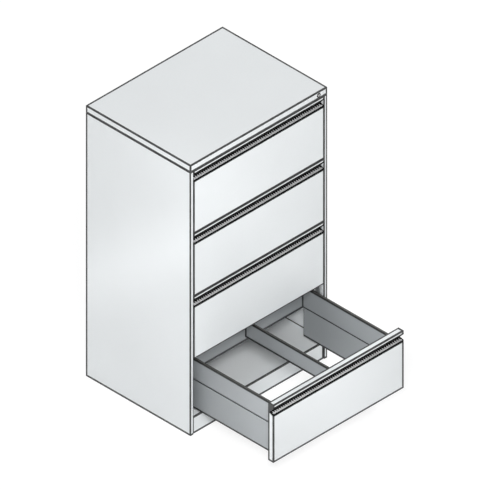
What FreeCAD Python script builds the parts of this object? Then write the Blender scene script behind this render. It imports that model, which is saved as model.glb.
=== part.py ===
import FreeCAD, Part
import os
import re
import Sketcher

# A steel filing cabinet for suspension files, two files wide, with four drawers. X runs to the right along
# the front, Y to the back and Z up. The origin is on the floor, at the centre of the cabinet. Three drawers
# are closed and the bottom one is pulled out.

# Sizes, in millimetres and degrees
SIZES = {
    # Carcass
    "cabinet_width": 790,
    "cabinet_depth": 605,
    "cabinet_height": 1352,
    "sheet": 1,
    "bend_inside": 0.5,
    "panel_play": 0.2,
    "jamb_width": 17,
    "jamb_return": 18,
    "rear_flange": 17,
    "rear_panel_return": 15,
    "rear_panel_lift": 2,
    # Top cover, and the step under it that makes the shadow line
    "top_cover_height": 34.5,
    "top_gap": 2,
    "top_step": 3,
    "top_return": 18,
    # Base frame and levelling glides
    "plinth_height": 83,
    "plinth_setback": 4,
    "plinth_return": 20,
    "corner_plate_width": 60,
    "corner_plate_sheet": 3,
    "corner_plate_height": 30,
    "glide_inset": 38,
    "glide_foot_radius": 16,
    "glide_foot_height": 8,
    "glide_stem_radius": 4,
    "glide_stem_length": 48,
    "glide_hole_play": 0.1,
    # Drawer stack
    "drawer_pitch": 314,
    "front_gap": 3,
    "bottom_gap": 2,
    "side_gap": 2,
    # Drawer front: the lip, the grip recess under it, and the hollow panel below
    "front_thickness": 31,
    "lip_face": 18,
    "lip_back": 54,
    "recess_back": 6,
    "recess_bottom": 44.5,
    "shelf_front": 56,
    "strip_front": 8,
    "strip_rear": 3.5,
    "strip_back_gap": 3,
    "cap_depth": 8,
    "liner_depth": 10,
    # Drawer frame
    "drawer_rear_gap": 57,
    "slide_space": 34,
    "side_wall": 11.5,
    "frame_top": 29,
    "frame_bottom": 274,
    "slot_top": 126,
    "slot_height": 4,
    "bead_depth": 1.5,
    "rear_wall_depth": 13,
    "divider_width": 10.5,
    "divider_bottom": 109,
    "file_strip": 2,
    "file_strip_round": 0.7,
    # Telescopic slides
    "rail_sheet": 1.2,
    "rail_play": 0.4,
    "rail_height": 38,
    "rail_setback": 42,
    "rail_end_gap": 5,
    "open_rail_overlap": 28,
    "rail_foot": 28,
    "wall_to_upright": 13,
    # Uprights
    "upright_sheet": 1.5,
    "upright_depth": 28,
    "upright_setback": 40.5,
    # Lock
    "lock_from_side": 50,
    "lock_turn": 90,
    "housing_radius": 8,
    "housing_length": 24,
    "housing_flange_radius": 10.5,
    "housing_flange": 1.2,
    "housing_hole_play": 0.1,
    "nut_radius": 11.5,
    "nut_height": 3,
    "core_radius": 6,
    "core_play": 0.08,
    "core_proud": 0.4,
    "core_length": 28,
    "key_slot_width": 1.4,
    "key_slot_height": 7,
    "key_slot_depth": 10,
    "cam_radius": 7,
    "cam_sheet": 3,
    "cam_arm_width": 8,
    "crank_radius": 8,
    "pin_radius": 2,
    "pin_length": 9,
    "pin_play": 0.6,
    # Lock bar, its teeth and guides, and the hooks on the drawers
    "bar_from_axis": 8,
    "bar_width": 18,
    "bar_sheet": 3,
    "bar_gap": 3.5,
    "bar_tail": 20,
    "head_left": 1,
    "head_edge": 3.5,
    "tooth_reach": 7.5,
    "tooth_height": 12,
    "hook_from_side": 2.5,
    "hook_sheet": 3,
    "hook_drop": 66,
    "hook_leg": 4,
    "hook_lip_height": 8,
    "hook_lip": 3.5,
    "hook_gap": 2,
    "hook_overlap": 6,
    "guide_wall": 2,
    "guide_face": 1.1,
    "guide_height": 30,
    "guide_drop": 200,
    "guide_play": 0.4,
}
DRAWERS = (1, 2, 3, 4)
BOTTOM_DRAWER = DRAWERS[-1]

# Lengths worked out from the sizes, each as a formula. In the drawers' own frame, the origin is on the
# front plane, at the top of the lip, so heights there are negative.
DERIVED = {
    "half_width": "cabinet_width / 2",
    "front_plane": "-cabinet_depth / 2",
    "rear_plane": "cabinet_depth / 2",
    "bend": "sheet + bend_inside",
    "skin_inside": "half_width - sheet",
    "jamb_inside": "half_width - jamb_width",
    "cover_bottom": "cabinet_height - top_cover_height",
    "side_top": "cover_bottom - top_gap",
    "step_face": "half_width - top_step",
    "rear_panel_half": "skin_inside - panel_play",
    "rear_inside": "rear_plane - 2 * sheet",
    "floor_top": "plinth_height + sheet",
    "base_half": "jamb_inside - panel_play",
    "base_front": "front_plane + plinth_setback",
    "floor_half": "rear_panel_half - sheet - panel_play",
    "front_half": "jamb_inside - side_gap",
    "front_inside": "front_thickness - sheet",
    "recess_depth": "front_thickness - recess_back",
    "strip_depth": "recess_depth - strip_back_gap",
    "strip_seat": "shelf_front - strip_depth * (shelf_front - recess_bottom) / recess_depth",
    "liner_half": "front_half - sheet - panel_play",
    "inner_length": "cabinet_depth - drawer_rear_gap - rear_wall_depth - front_thickness",
    "side_outer": "jamb_inside - slide_space",
    "side_inner": "side_outer - side_wall",
    "slot_bottom": "slot_top + slot_height",
    "bead_ramp": "slot_height / 4",
    "rear_wall_front": "front_thickness + inner_length",
    "side_length": "inner_length + rear_wall_depth",
    "upright_face": "side_outer + wall_to_upright",
    "upright_front": "front_plane + upright_setback",
    "rail_length": "rear_wall_front - rail_end_gap - rail_setback",
    "bottom_drawer_open": "rail_length - open_rail_overlap",
    "upright_rear": "front_plane + rail_setback + rail_length - upright_depth",
    "rail_step": "rail_sheet + rail_play",
    "outer_web": "side_outer - sheet - rail_play",
    "middle_web": "outer_web - rail_step",
    "inner_tip": "middle_web - rail_step",
    "rail_tip": "side_inner + sheet + bead_depth + rail_play",
    "rail_bottom": "-(slot_top + slot_bottom + rail_sheet) / 2",
    "rail_top": "rail_bottom + rail_height",
    "lock_x": "half_width - lock_from_side",
    "lock_z": "cabinet_height - top_cover_height / 2",
    "rest_angle": "lock_turn / 2",
    "pin_x": "lock_x + crank_radius * cos(rest_angle)",
    "pin_z": "lock_z - crank_radius * sin(rest_angle)",
    "bar_lift": "2 * crank_radius * sin(rest_angle)",
    "bar_left": "lock_x + bar_from_axis",
    "bar_front": "front_plane + front_thickness + bar_gap",
    "slot_half": "pin_radius + pin_play",
    "tooth_left": "bar_left - tooth_reach",
    "hook_left": "side_outer + hook_from_side",
    "hook_leg_bottom": "hook_drop + hook_leg",
    "hook_bottom": "hook_leg_bottom + hook_lip_height",
    "hook_lip_front": "front_thickness + bar_gap + bar_sheet + hook_gap",
    "tooth_drop": "hook_bottom + bar_lift - hook_overlap",
}

doc = FreeCAD.newDocument("filing_cabinet")
sheet = doc.addObject("Spreadsheet::Sheet", "sizes")
for row, (alias, number) in enumerate(SIZES.items(), 1):
    sheet.set(f"A{row}", alias)
    sheet.set(f"B{row}", str(number))
    sheet.setAlias(f"B{row}", alias)
doc.recompute()

X_AXIS = FreeCAD.Vector(1, 0, 0)
Z_AXIS = FreeCAD.Vector(0, 0, 1)
nodes = []


# Helpers

def spelled_out(formula):
    """The formula with each size as its cell and each derived length as its own formula."""

    def replacement(word):
        name = word.group()
        if name in SIZES:
            return "sizes." + name
        if name in DERIVED:
            return "(" + spelled_out(DERIVED[name]) + ")"
        return name

    return re.sub(r"[a-z_]\w*", replacement, formula)


def bind(item, formulas):
    for place, formula in formulas.items():
        item.setExpression(place, spelled_out(formula))


def bind_base(item, x="0", y="0", z="0"):
    bind(item, {"Placement.Base.x": x, "Placement.Base.y": y, "Placement.Base.z": z})


def node(item, label):
    """Marks an object as a sub-part and names it."""
    item.Label = label
    nodes.append(item)
    return item


def body(name):
    return doc.addObject("PartDesign::Body", name)


def feature(owner, kind, name):
    return owner.newObject("PartDesign::" + kind, owner.Name + "_" + name)


def block(owner, name, low, size, cut=False):
    """Adds or cuts a box, given its lowest corner and its size along X, Y and Z."""
    box = feature(owner, "SubtractiveBox" if cut else "AdditiveBox", name)
    bind(box, dict(zip(("Length", "Width", "Height"), size)))
    bind_base(box, *low)
    return box


def cylinder(owner, name, radius, height, low=("0", "0", "0"), cut=False):
    """Adds or cuts a cylinder along Z, given the centre of its lower end."""
    drum = feature(owner, "SubtractiveCylinder" if cut else "AdditiveCylinder", name)
    bind(drum, {"Radius": radius, "Height": height})
    bind_base(drum, *low)
    return drum


def outline(owner, name, plane, start, corners):
    """A closed sketch of straight edges on a plane of the body, moved along its normal to start."""
    sketch = owner.newObject("Sketcher::SketchObject", owner.Name + "_" + name + "_sketch")
    origin_plane = next(item for item in owner.Origin.OriginFeatures if item.Role == plane + "_Plane")
    sketch.AttachmentSupport = [(origin_plane, "")]
    sketch.MapMode = "FlatFace"
    normal = "-(" + start + ")" if plane == "XZ" else start
    bind(sketch, {"AttachmentOffset.Base.z": normal})
    count = len(corners)
    # The corners start evenly round a circle, and the constraints take them to their places
    turns = [FreeCAD.Rotation(Z_AXIS, 360 * i / count).multVec(X_AXIS) for i in range(count)]
    for i in range(count):
        sketch.addGeometry(Part.LineSegment(turns[i], turns[(i + 1) % count]), False)
    for i in range(count):
        sketch.addConstraint(Sketcher.Constraint("Coincident", i, 2, (i + 1) % count, 1))
    for i, corner in enumerate(corners):
        for way, formula, first in zip(("DistanceX", "DistanceY"), corner, turns[i]):
            number = sketch.addConstraint(Sketcher.Constraint(way, -1, 1, i, 1, first))
            bind(sketch, {f"Constraints[{number}]": formula})
    return sketch


def extrude(owner, name, plane, corners, start, length, cut=False):
    """Pads or pockets an outline from start, towards the higher end of the axis across its plane."""
    sketch = outline(owner, name, plane, start, corners)
    step = feature(owner, "Pocket" if cut else "Pad", name)
    step.Profile = sketch
    step.Reversed = cut != (plane == "XZ")
    bind(step, {"Length": length})
    return step


def length_of(name):
    """The number in a cell, for finding edges."""
    return float(sheet.get(name))


def find_edges(shape, kind, **places):
    """Names of the edges that run along an axis, or of the round ones, at the given places. A place is a
    number, or the low or high side of the shape."""
    limits = shape.BoundBox
    sides = {
        "x": {"low": limits.XMin, "high": limits.XMax},
        "y": {"low": limits.YMin, "high": limits.YMax},
        "z": {"low": limits.ZMin, "high": limits.ZMax},
    }
    found = []
    for number, edge in enumerate(shape.Edges, 1):
        ends = edge.Vertexes[-1].Point - edge.Vertexes[0].Point
        centre = edge.CenterOfMass
        if kind == "round":
            is_right_kind = edge.isClosed()
        else:
            is_right_kind = not edge.isClosed() and abs(getattr(ends, kind)) > 0.999 * ends.Length
        in_place = all(
            abs(getattr(centre, way) - sides[way].get(place, place)) < 1e-4 for way, place in places.items()
        )
        if is_right_kind and in_place:
            found.append(f"Edge{number}")
    return found


def rounded(owner, name, base, radius, *choices):
    """Rounds the chosen edges of a feature; each choice is a kind of edge and its places."""
    doc.recompute()
    names = []
    for kind, places in choices:
        names += find_edges(base.Shape, kind, **places)
    fillet = feature(owner, "Fillet", name)
    fillet.Base = (base, names)
    bind(fillet, {"Radius": radius})
    return fillet


def mirrored(source, name):
    """The same piece on the other side of the cabinet."""
    twin = doc.addObject("Part::Mirroring", name)
    twin.Source = source
    twin.Normal = X_AXIS
    return twin


def group(name, members):
    """Identical pieces that share one sub-part."""
    cluster = doc.addObject("Part::Compound", name)
    cluster.Links = members
    return cluster


# Carcass

def make_side_panels():
    """A skin with a jamb folded at the front, a flange at the back, and a stepped fold that carries the
    cover."""
    panel = body("right_side_panel")
    skin = extrude(panel, "skin", "XY", [
        ("half_width", "front_plane"),
        ("half_width", "rear_plane"),
        ("half_width - rear_flange", "rear_plane"),
        ("half_width - rear_flange", "rear_plane - sheet"),
        ("skin_inside", "rear_plane - sheet"),
        ("skin_inside", "front_plane + sheet"),
        ("jamb_inside + sheet", "front_plane + sheet"),
        ("jamb_inside + sheet", "front_plane + jamb_return"),
        ("jamb_inside", "front_plane + jamb_return"),
        ("jamb_inside", "front_plane"),
    ], "0", "side_top")
    jamb = (length_of("cabinet_width") / 2 - length_of("jamb_width"))
    rounded(panel, "bends", skin, "bend",
            ("z", {"x": "high", "y": "low"}),
            ("z", {"x": "high", "y": "high"}),
            ("z", {"x": jamb, "y": "low"}))
    extrude(panel, "top_fold", "XZ", [
        ("skin_inside", "side_top - sheet"),
        ("step_face - sheet", "side_top - sheet"),
        ("step_face - sheet", "cover_bottom - sheet"),
        ("half_width - top_return", "cover_bottom - sheet"),
        ("half_width - top_return", "cover_bottom"),
        ("step_face", "cover_bottom"),
        ("step_face", "side_top"),
        ("skin_inside", "side_top"),
    ], "front_plane + sheet", "cabinet_depth - 2 * sheet")
    node(panel, "right_side_panel")
    node(mirrored(panel, "left_side_panel"), "left_side_panel")


def make_rear_panel():
    """A sheet with its edges folded forwards, behind the flanges of the side panels."""
    panel = body("rear_panel")
    extrude(panel, "sheet", "XY", [
        ("-rear_panel_half", "rear_plane - sheet"),
        ("rear_panel_half", "rear_plane - sheet"),
        ("rear_panel_half", "rear_plane - sheet - rear_panel_return"),
        ("rear_panel_half - sheet", "rear_plane - sheet - rear_panel_return"),
        ("rear_panel_half - sheet", "rear_inside"),
        ("sheet - rear_panel_half", "rear_inside"),
        ("sheet - rear_panel_half", "rear_plane - sheet - rear_panel_return"),
        ("-rear_panel_half", "rear_plane - sheet - rear_panel_return"),
    ], "rear_panel_lift", "side_top - sheet - rear_panel_lift")
    node(panel, "rear_panel")


def make_top_cover():
    """A shallow tray upside down, with a flange round its lower edge and a hole for the lock in front."""
    cover = body("top_cover")
    shell = block(cover, "shell", ("-half_width", "front_plane", "cover_bottom"),
                  ("cabinet_width", "cabinet_depth", "top_cover_height"))
    rounded(cover, "bends", shell, "bend",
            ("z", {}),
            ("x", {"z": "high"}),
            ("y", {"z": "high"}))
    block(cover, "hollow", ("-skin_inside", "front_plane + sheet", "cover_bottom + sheet"),
          ("2 * skin_inside", "cabinet_depth - 2 * sheet", "top_cover_height - 2 * sheet"), cut=True)
    block(cover, "throat", ("top_return - half_width", "front_plane + top_return", "cover_bottom"),
          ("cabinet_width - 2 * top_return", "cabinet_depth - 2 * top_return", "2 * sheet"), cut=True)
    hole = cylinder(cover, "lock_hole", "housing_radius + housing_hole_play", "3 * sheet",
                    ("lock_x", "front_plane - sheet", "lock_z"), cut=True)
    hole.Placement.Rotation = FreeCAD.Rotation(X_AXIS, -90)
    node(cover, "top_cover")


def make_base():
    """A ring of folded channel whose front is the plinth, with corner plates that hold the levelling
    glides."""
    frame = body("base_frame")
    length = "rear_inside - base_front"
    block(frame, "ring", ("-base_half", "base_front", "0"), ("2 * base_half", length, "plinth_height"))
    block(frame, "hollow", ("sheet - base_half", "base_front + sheet", "sheet"),
          ("2 * (base_half - sheet)", length + " - 2 * sheet", "plinth_height - 2 * sheet"), cut=True)
    block(frame, "throat", ("plinth_return - base_half", "base_front + plinth_return", "0"),
          ("2 * (base_half - plinth_return)", length + " - 2 * plinth_return", "plinth_height"), cut=True)
    glides = []
    corners = {
        "front_left": ("sheet - base_half", "base_front + sheet",
                       "glide_inset - base_half", "base_front + glide_inset"),
        "front_right": ("base_half - sheet - corner_plate_width", "base_front + sheet",
                        "base_half - glide_inset", "base_front + glide_inset"),
        "rear_left": ("sheet - base_half", "rear_inside - sheet - corner_plate_width",
                      "glide_inset - base_half", "rear_inside - glide_inset"),
        "rear_right": ("base_half - sheet - corner_plate_width", "rear_inside - sheet - corner_plate_width",
                       "base_half - glide_inset", "rear_inside - glide_inset"),
    }
    for corner, (plate_x, plate_y, glide_x, glide_y) in corners.items():
        block(frame, corner + "_plate", (plate_x, plate_y, "corner_plate_height"),
              ("corner_plate_width", "corner_plate_width", "corner_plate_sheet"))
        cylinder(frame, corner + "_hole", "glide_stem_radius + glide_hole_play", "3 * corner_plate_sheet",
                 (glide_x, glide_y, "corner_plate_height - corner_plate_sheet"), cut=True)
        glide = body(corner + "_glide")
        foot = cylinder(glide, "foot", "glide_foot_radius", "glide_foot_height")
        rounded(glide, "edge", foot, "glide_foot_height / 4", ("round", {"z": "high"}))
        cylinder(glide, "stem", "glide_stem_radius", "glide_stem_length", ("0", "0", "glide_foot_height"))
        bind_base(glide, glide_x, glide_y, "0")
        glides.append(glide)
    node(frame, "base_frame")
    node(group("levelling_glides", glides), "levelling_glides")


def make_floor_panel():
    """A sheet on the base frame, notched at the front round the jambs."""
    panel = body("floor_panel")
    notch_end = "front_plane + jamb_return + panel_play"
    extrude(panel, "sheet", "XY", [
        ("-base_half", "base_front"),
        ("base_half", "base_front"),
        ("base_half", notch_end),
        ("floor_half", notch_end),
        ("floor_half", "rear_inside"),
        ("-floor_half", "rear_inside"),
        ("-floor_half", notch_end),
        ("-base_half", notch_end),
    ], "plinth_height", "sheet")
    node(panel, "floor_panel")


def make_uprights():
    """Four channels that stand on the floor panel, open towards the side panels, and carry the slides."""
    uprights = []
    for place, front in (("front", "upright_front"), ("rear", "upright_rear")):
        upright = body(place + "_upright")
        back = front + " + upright_depth"
        extrude(upright, "channel", "XY", [
            ("upright_face", front),
            ("skin_inside", front),
            ("skin_inside", front + " + upright_sheet"),
            ("upright_face + upright_sheet", front + " + upright_sheet"),
            ("upright_face + upright_sheet", back + " - upright_sheet"),
            ("skin_inside", back + " - upright_sheet"),
            ("skin_inside", back),
            ("upright_face", back),
        ], "floor_top", "side_top - sheet - floor_top")
        uprights += [upright, mirrored(upright, place + "_upright_mirrored")]
    node(group("slide_uprights", uprights), "slide_uprights")


def lip_top(number):
    """The height of a drawer's top edge."""
    return f"side_top - {number - 1} * drawer_pitch"


def make_outer_rails():
    """The slide members fixed to the uprights: a channel in the drawer side, and a foot through its slot."""
    rails = []
    for number in DRAWERS:
        rail = body(f"outer_rail_{number}")
        extrude(rail, "channel", "XZ", [
            ("rail_tip", "rail_bottom"),
            ("upright_face", "rail_bottom"),
            ("upright_face", "rail_bottom + rail_foot"),
            ("upright_face - rail_sheet", "rail_bottom + rail_foot"),
            ("upright_face - rail_sheet", "rail_bottom + rail_sheet"),
            ("outer_web", "rail_bottom + rail_sheet"),
            ("outer_web", "rail_top"),
            ("rail_tip", "rail_top"),
            ("rail_tip", "rail_top - rail_sheet"),
            ("outer_web - rail_sheet", "rail_top - rail_sheet"),
            ("outer_web - rail_sheet", "rail_bottom + rail_sheet"),
            ("rail_tip", "rail_bottom + rail_sheet"),
        ], "rail_setback", "rail_length")
        bind_base(rail, y="front_plane", z=lip_top(number))
        rails.append(rail)
    right = group("right_outer_rails", rails)
    node(right, "right_outer_rails")
    node(mirrored(right, "left_outer_rails"), "left_outer_rails")


# Drawers, each in its own frame

def lip_hollow():
    """The inside of the lip. Its deepest corner lies two sheets behind the fold at the recess's back."""
    return [
        ("sheet", "-sheet"),
        ("front_inside", "-sheet"),
        ("front_inside", "-recess_bottom - sheet / 2"),
        ("recess_depth + 2 * sheet", "-recess_bottom - sheet / 2"),
        ("sheet", "0.4 * sheet - lip_face"),
    ]


def make_front(number, height):
    """One folded shell: the lip, the recess open at both ends, and a box below with end walls."""
    front = body(f"drawer_{number}_front")
    width = "2 * front_half"
    shell = extrude(front, "shell", "YZ", [
        ("0", "0"),
        ("front_thickness", "0"),
        ("front_thickness", "-(" + height + ")"),
        ("0", "-(" + height + ")"),
        ("0", "-shelf_front"),
        ("recess_depth", "-recess_bottom"),
        ("0", "-lip_face"),
    ], "-front_half", width)
    rounded(front, "bends", shell, "bend",
            ("x", {"y": "low", "z": "high"}),
            ("x", {"y": "high", "z": "high"}),
            ("x", {"y": "low", "z": "low"}),
            ("x", {"y": "low", "z": -length_of("lip_face")}))
    extrude(front, "lip_hollow", "YZ", lip_hollow(), "-front_half - sheet", width + " + 2 * sheet",
            cut=True)
    extrude(front, "hollow", "YZ", [
        ("sheet", "sheet - (" + height + ")"),
        ("front_thickness + sheet", "sheet - (" + height + ")"),
        ("front_thickness + sheet", "-lip_back"),
        ("front_inside", "-lip_back"),
        ("front_inside", "-recess_bottom - sheet / 2"),
        ("recess_depth + 2 * sheet", "-recess_bottom - sheet / 2"),
        ("sheet", "-shelf_front - 0.8 * sheet"),
    ], "sheet - front_half", width + " - 2 * sheet", cut=True)
    return front


def make_liner(number, height):
    """The tray that closes the back of the front, with the hook for the lock bar."""
    liner = body(f"drawer_{number}_front_liner")
    low = "sheet + panel_play - (" + height + ")"
    tall = "(" + height + ") - lip_back - sheet - 2 * panel_play"
    block(liner, "tray", ("-liner_half", "front_thickness - liner_depth", low),
          ("2 * liner_half", "liner_depth", tall))
    block(liner, "hollow", ("sheet - liner_half", "front_thickness - liner_depth", low + " + sheet"),
          ("2 * (liner_half - sheet)", "liner_depth - sheet", tall + " - 2 * sheet"), cut=True)
    extrude(liner, "hook", "YZ", [
        ("front_thickness", "-hook_drop"),
        ("hook_lip_front + hook_lip", "-hook_drop"),
        ("hook_lip_front + hook_lip", "-hook_bottom"),
        ("hook_lip_front", "-hook_bottom"),
        ("hook_lip_front", "-hook_leg_bottom"),
        ("front_thickness", "-hook_leg_bottom"),
    ], "hook_left", "hook_sheet")
    return liner


def make_grip_strip(number):
    """A wedge that lies on the shelf of the recess, with its nose in the front plane."""
    strip = body(f"drawer_{number}_grip_strip")
    extrude(strip, "wedge", "YZ", [
        ("0", "-shelf_front"),
        ("strip_depth", "-strip_seat"),
        ("strip_depth", "strip_rear - strip_seat"),
        ("0", "strip_front - shelf_front"),
    ], "-front_half", "2 * front_half")
    return strip


def make_end_caps(number):
    """Two plugs that close the ends of the hollow lip."""
    cap = body(f"drawer_{number}_right_cap")
    extrude(cap, "plug", "YZ", lip_hollow(), "front_half - cap_depth", "cap_depth")
    return group(f"drawer_{number}_lip_end_caps", [cap, mirrored(cap, f"drawer_{number}_left_cap")])


def make_side(number):
    """A double wall folded from one sheet. A slot along its outer face lets the foot of the outer rail
    through, and a bead runs along its inner face at that height. The lower part ends at the rear wall."""
    side = body(f"drawer_{number}_right_side")
    extrude(side, "upper", "XZ", [
        ("side_outer", "-slot_top"),
        ("side_outer", "-frame_top"),
        ("side_inner", "-frame_top"),
        ("side_inner", "-slot_top"),
        ("side_inner + bead_depth", "-slot_top - bead_ramp"),
        ("side_inner + bead_depth", "bead_ramp - slot_bottom"),
        ("side_inner", "-slot_bottom"),
        ("side_inner + sheet", "-slot_bottom"),
        ("side_inner + sheet + bead_depth", "bead_ramp - slot_bottom"),
        ("side_inner + sheet + bead_depth", "-slot_top - bead_ramp"),
        ("side_inner + sheet", "-slot_top"),
        ("side_inner + sheet", "-frame_top - sheet"),
        ("side_outer - sheet", "-frame_top - sheet"),
        ("side_outer - sheet", "-slot_top"),
    ], "front_thickness", "side_length")
    lower = extrude(side, "lower", "XZ", [
        ("side_inner", "-slot_bottom"),
        ("side_inner", "-frame_bottom"),
        ("side_outer", "-frame_bottom"),
        ("side_outer", "-slot_bottom"),
        ("side_outer - sheet", "-slot_bottom"),
        ("side_outer - sheet", "sheet - frame_bottom"),
        ("side_inner + sheet", "sheet - frame_bottom"),
        ("side_inner + sheet", "-slot_bottom"),
    ], "front_thickness", "inner_length")
    rounded(side, "bends", lower, "bend",
            ("y", {"z": "high"}),
            ("y", {"z": "low"}))
    return side


def make_rear_wall(number):
    """A channel across the back, open to the rear, between the upper parts of the sides."""
    wall = body(f"drawer_{number}_rear_wall")
    back = "rear_wall_front + rear_wall_depth"
    extrude(wall, "channel", "YZ", [
        ("rear_wall_front", "-frame_top"),
        (back, "-frame_top"),
        (back, "-frame_top - sheet"),
        ("rear_wall_front + sheet", "-frame_top - sheet"),
        ("rear_wall_front + sheet", "sheet - slot_bottom"),
        (back, "sheet - slot_bottom"),
        (back, "-slot_bottom"),
        ("rear_wall_front", "-slot_bottom"),
    ], "-side_inner", "2 * side_inner")
    return wall


def make_divider(number):
    """A channel, open below, that parts the two rows of files."""
    divider = body(f"drawer_{number}_divider")
    channel = extrude(divider, "channel", "XZ", [
        ("divider_width / 2", "-divider_bottom"),
        ("divider_width / 2", "-frame_top"),
        ("-divider_width / 2", "-frame_top"),
        ("-divider_width / 2", "-divider_bottom"),
        ("sheet - divider_width / 2", "-divider_bottom"),
        ("sheet - divider_width / 2", "-frame_top - sheet"),
        ("divider_width / 2 - sheet", "-frame_top - sheet"),
        ("divider_width / 2 - sheet", "-divider_bottom"),
    ], "front_thickness", "inner_length")
    rounded(divider, "bends", channel, "bend", ("y", {"z": "high"}))
    return divider


def make_file_strips(number):
    """Flat strips on top of the sides and the divider, on which the files slide."""
    side = body(f"drawer_{number}_right_file_strip")
    long_strip = block(side, "strip", ("side_inner", "front_thickness", "-frame_top"),
                       ("side_wall", "side_length", "file_strip"))
    rounded(side, "edges", long_strip, "file_strip_round", ("y", {"z": "high"}))
    middle = body(f"drawer_{number}_middle_file_strip")
    short_strip = block(middle, "strip", ("-divider_width / 2", "front_thickness", "-frame_top"),
                        ("divider_width", "inner_length", "file_strip"))
    rounded(middle, "edges", short_strip, "file_strip_round", ("y", {"z": "high"}))
    strips = [side, mirrored(side, f"drawer_{number}_left_file_strip"), middle]
    return group(f"drawer_{number}_file_strips", strips)


def make_inner_rails(number):
    """The slide members fixed inside the drawer sides."""
    rail = body(f"drawer_{number}_right_inner_rail")
    low = "rail_bottom + 2 * rail_step"
    high = "rail_top - 2 * rail_step"
    extrude(rail, "channel", "XZ", [
        ("side_inner + sheet", low),
        ("inner_tip", low),
        ("inner_tip", low + " + rail_sheet"),
        ("side_inner + sheet + rail_sheet", low + " + rail_sheet"),
        ("side_inner + sheet + rail_sheet", high + " - rail_sheet"),
        ("inner_tip", high + " - rail_sheet"),
        ("inner_tip", high),
        ("side_inner + sheet", high),
    ], "rail_setback", "rail_length")
    left_rail = mirrored(rail, f"drawer_{number}_left_inner_rail")
    return group(f"drawer_{number}_inner_rails", [rail, left_rail])


def make_middle_rails(number):
    """The slide members between the outer and the inner rails, which travel half as far as the drawer."""
    rail = body(f"drawer_{number}_right_middle_rail")
    low = "rail_bottom + rail_step"
    high = "rail_top - rail_step"
    extrude(rail, "channel", "XZ", [
        ("rail_tip", low),
        ("middle_web", low),
        ("middle_web", high),
        ("rail_tip", high),
        ("rail_tip", high + " - rail_sheet"),
        ("middle_web - rail_sheet", high + " - rail_sheet"),
        ("middle_web - rail_sheet", low + " + rail_sheet"),
        ("rail_tip", low + " + rail_sheet"),
    ], "rail_setback", "rail_length")
    left_rail = mirrored(rail, f"drawer_{number}_left_middle_rail")
    return group(f"drawer_{number}_middle_rails", [rail, left_rail])


def make_drawer(number):
    if number == BOTTOM_DRAWER:
        height = lip_top(number) + " - floor_top - bottom_gap"
        pulled_out = "bottom_drawer_open"
    else:
        height = "drawer_pitch - front_gap"
        pulled_out = "0"
    side = make_side(number)
    pieces = {
        "front": make_front(number, height),
        "front_liner": make_liner(number, height),
        "grip_strip": make_grip_strip(number),
        "lip_end_caps": make_end_caps(number),
        "right_side": side,
        "rear_wall": make_rear_wall(number),
        "divider": make_divider(number),
        "file_strips": make_file_strips(number),
        "inner_rails": make_inner_rails(number),
    }
    for name, piece in pieces.items():
        bind_base(piece, y="front_plane - " + pulled_out, z=lip_top(number))
        node(piece, f"drawer_{number}_{name}")
    node(mirrored(side, f"drawer_{number}_left_side"), f"drawer_{number}_left_side")
    rails = make_middle_rails(number)
    bind_base(rails, y="front_plane - " + pulled_out + " / 2", z=lip_top(number))
    node(rails, f"drawer_{number}_middle_rails")


# Lock. The pieces round its axis are built along Z and then turned, so that Z runs into the cabinet.

def seat_on_lock_axis(piece, label):
    piece.Placement.Rotation = FreeCAD.Rotation(X_AXIS, -90)
    bind_base(piece, "lock_x", "front_plane", "lock_z")
    node(piece, label)


def make_lock():
    housing = body("lock_housing")
    cylinder(housing, "flange", "housing_flange_radius", "housing_flange", ("0", "0", "-housing_flange"))
    cylinder(housing, "barrel", "housing_radius", "housing_length")
    cylinder(housing, "bore", "core_radius + core_play", "housing_length + 2 * housing_flange",
             ("0", "0", "-2 * housing_flange"), cut=True)
    cylinder(housing, "bore_end", "core_radius + core_play", "housing_length",
             ("0", "0", "housing_flange"), cut=True)
    seat_on_lock_axis(housing, "lock_housing")

    nut = body("lock_nut")
    prism = feature(nut, "AdditivePrism", "hexagon")
    bind(prism, {"Circumradius": "nut_radius", "Height": "nut_height"})
    bind_base(prism, z="sheet")
    cylinder(nut, "bore", "housing_radius", "nut_height + 2 * sheet", cut=True)
    seat_on_lock_axis(nut, "lock_nut")

    core = body("lock_core")
    face = "housing_flange + core_proud"
    cylinder(core, "drum", "core_radius", "core_length + " + face, ("0", "0", "-(" + face + ")"))
    block(core, "key_slot", ("-key_slot_width / 2", "-key_slot_height / 2", "-(" + face + ")"),
          ("key_slot_width", "key_slot_height", "key_slot_depth"), cut=True)
    seat_on_lock_axis(core, "lock_core")

    cam = body("lock_cam")
    pin = ("crank_radius * cos(rest_angle)", "crank_radius * sin(rest_angle)", "core_length")
    cylinder(cam, "hub", "cam_radius", "cam_sheet", ("0", "0", "core_length"))
    arm = block(cam, "arm", ("cam_arm_width / 2 * sin(rest_angle)", "-cam_arm_width / 2 * cos(rest_angle)",
                             "core_length"), ("crank_radius", "cam_arm_width", "cam_sheet"))
    arm.Placement.Rotation = FreeCAD.Rotation(Z_AXIS, 1)
    bind(arm, {"Placement.Rotation.Angle": "rest_angle"})
    cylinder(cam, "tip", "cam_arm_width / 2", "cam_sheet", pin)
    cylinder(cam, "pin", "pin_radius", "cam_sheet + pin_length", pin)
    seat_on_lock_axis(cam, "lock_cam")


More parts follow.
